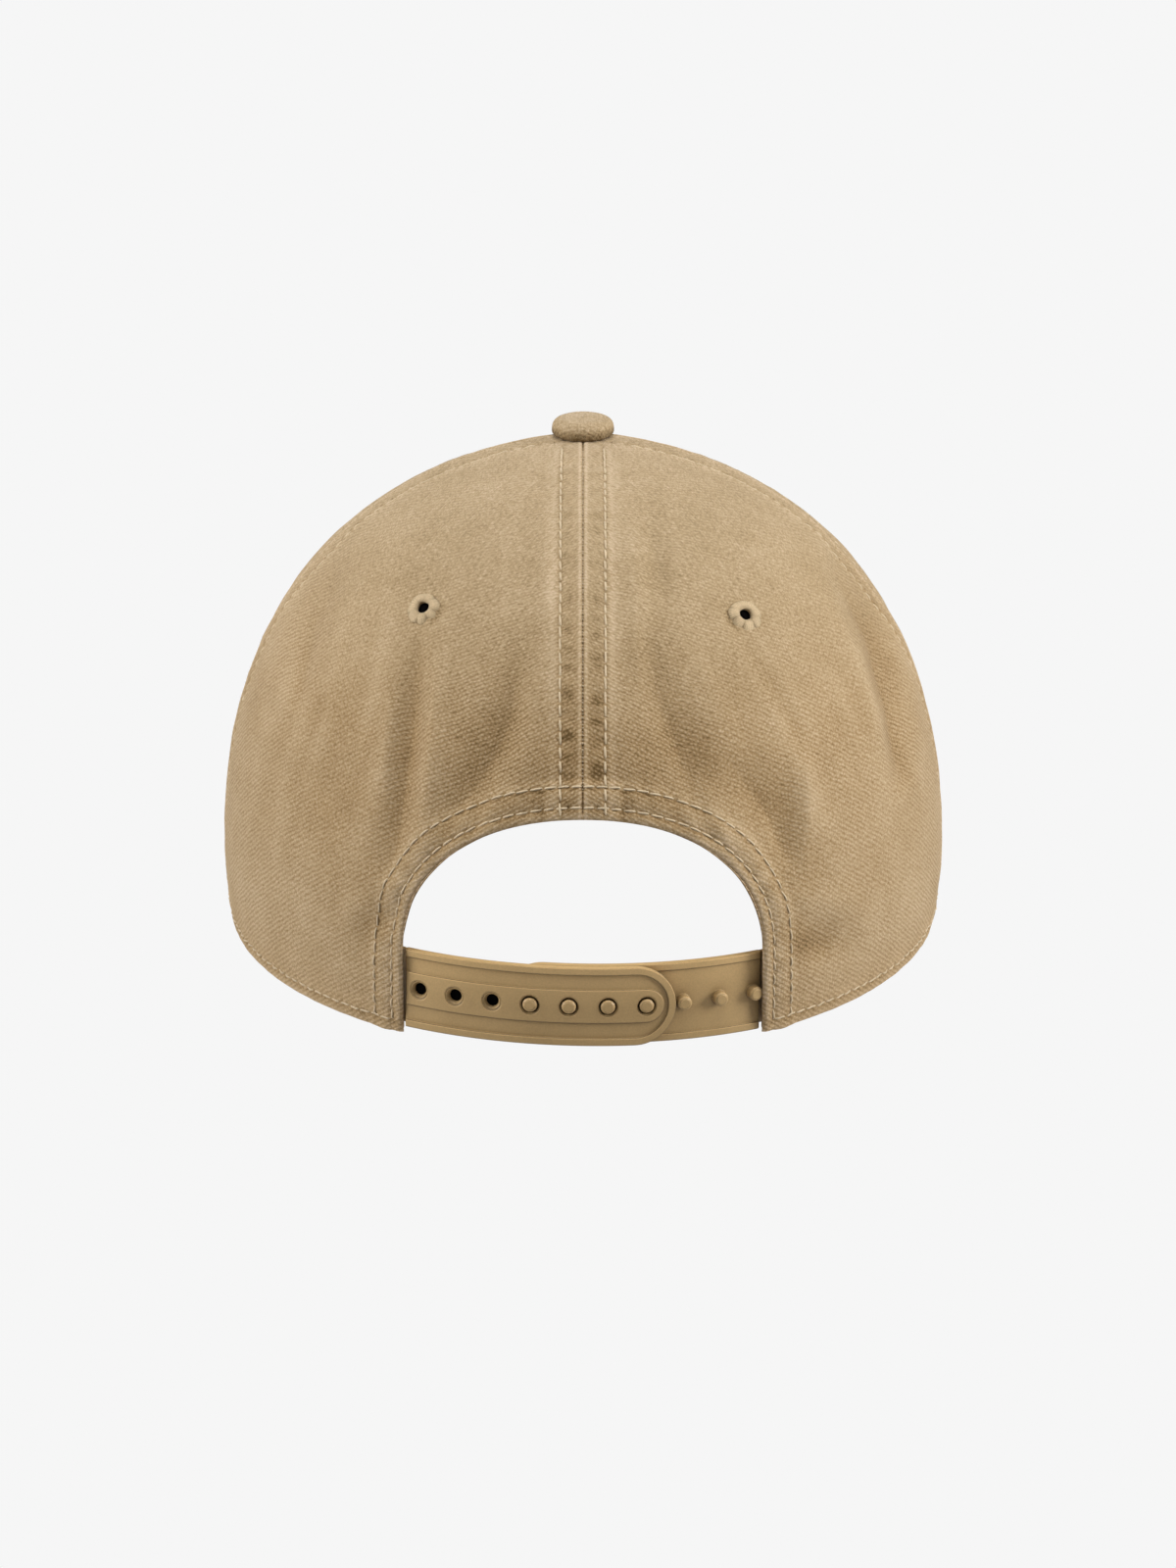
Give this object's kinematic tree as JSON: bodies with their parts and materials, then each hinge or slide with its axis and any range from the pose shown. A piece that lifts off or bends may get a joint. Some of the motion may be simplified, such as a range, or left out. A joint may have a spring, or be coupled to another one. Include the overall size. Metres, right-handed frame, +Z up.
{
  "type": "baseball cap",
  "caption": "Soft cloth cap with a structured front, curved visor, top button, eyelets and an adjustable snap strap across an arched back opening.",
  "frame": {"origin": "middle of the head opening, on the plane of the crown's lower edge", "axes": "+Z up through the button, -Y towards the visor, +Y towards the back opening, +X the wearer's left"},
  "size_m": [0.1784, 0.2758, 0.1447],
  "materials": {
    "cotton_twill": "washed brushed cotton twill, matt, fine diagonal rib, paler along worn edges",
    "buckram": "stiff open plain weave, matt",
    "seam_tape": "plain woven cotton tape, matt",
    "sweatband_cloth": "soft cotton twill band, matt",
    "visor_board": "plain moulded sheet",
    "button_cloth": "cotton twill stretched over a cap, matt",
    "button_metal": "plain pressed steel",
    "eyelet_thread": "embroidery thread, slight sheen",
    "strap_plastic": "soft moulded plastic, satin, polished rims"
  },
  "bodies": {
    "crown": {"front_panel": "cotton_twill", "side_panel_left": "cotton_twill", "side_panel_right": "cotton_twill", "back_panel_left": "cotton_twill", "back_panel_right": "cotton_twill", "front_buckram": "buckram", "seam_tape_center_back": "seam_tape", "seam_tape_side_left": "seam_tape", "seam_tape_side_right": "seam_tape", "seam_tape_front_left": "seam_tape", "seam_tape_front_right": "seam_tape", "opening_facing": "seam_tape", "sweatband": "sweatband_cloth", "visor_board": "visor_board", "visor_top_cover": "cotton_twill", "visor_bottom_cover": "cotton_twill", "button_cover": "button_cloth", "button_core": "button_metal", "button_tack": "button_metal", "eyelet_back_left": "eyelet_thread", "eyelet_back_right": "eyelet_thread", "eyelet_side_left": "eyelet_thread", "eyelet_side_right": "eyelet_thread", "strap_left_tab": "strap_plastic", "strap_right_tab": "strap_plastic"},
    "strap_left": {"strap_left": "strap_plastic"},
    "strap_right": {"strap_right": "strap_plastic"}
  },
  "joints": [
    {"name": "strap_left_flex", "type": "hinge", "parent": "crown", "child": "strap_left", "pos_m": [0.04099, 0.09006, 0.01202], "axis": [0.0175, 0, -0.9998], "range_deg": [0, 60]},
    {"name": "strap_right_flex", "type": "hinge", "parent": "crown", "child": "strap_right", "pos_m": [-0.04099, 0.08811, 0.01058], "axis": [0.0175, 0, -0.9998], "range_deg": [0, 40]}
  ]
}
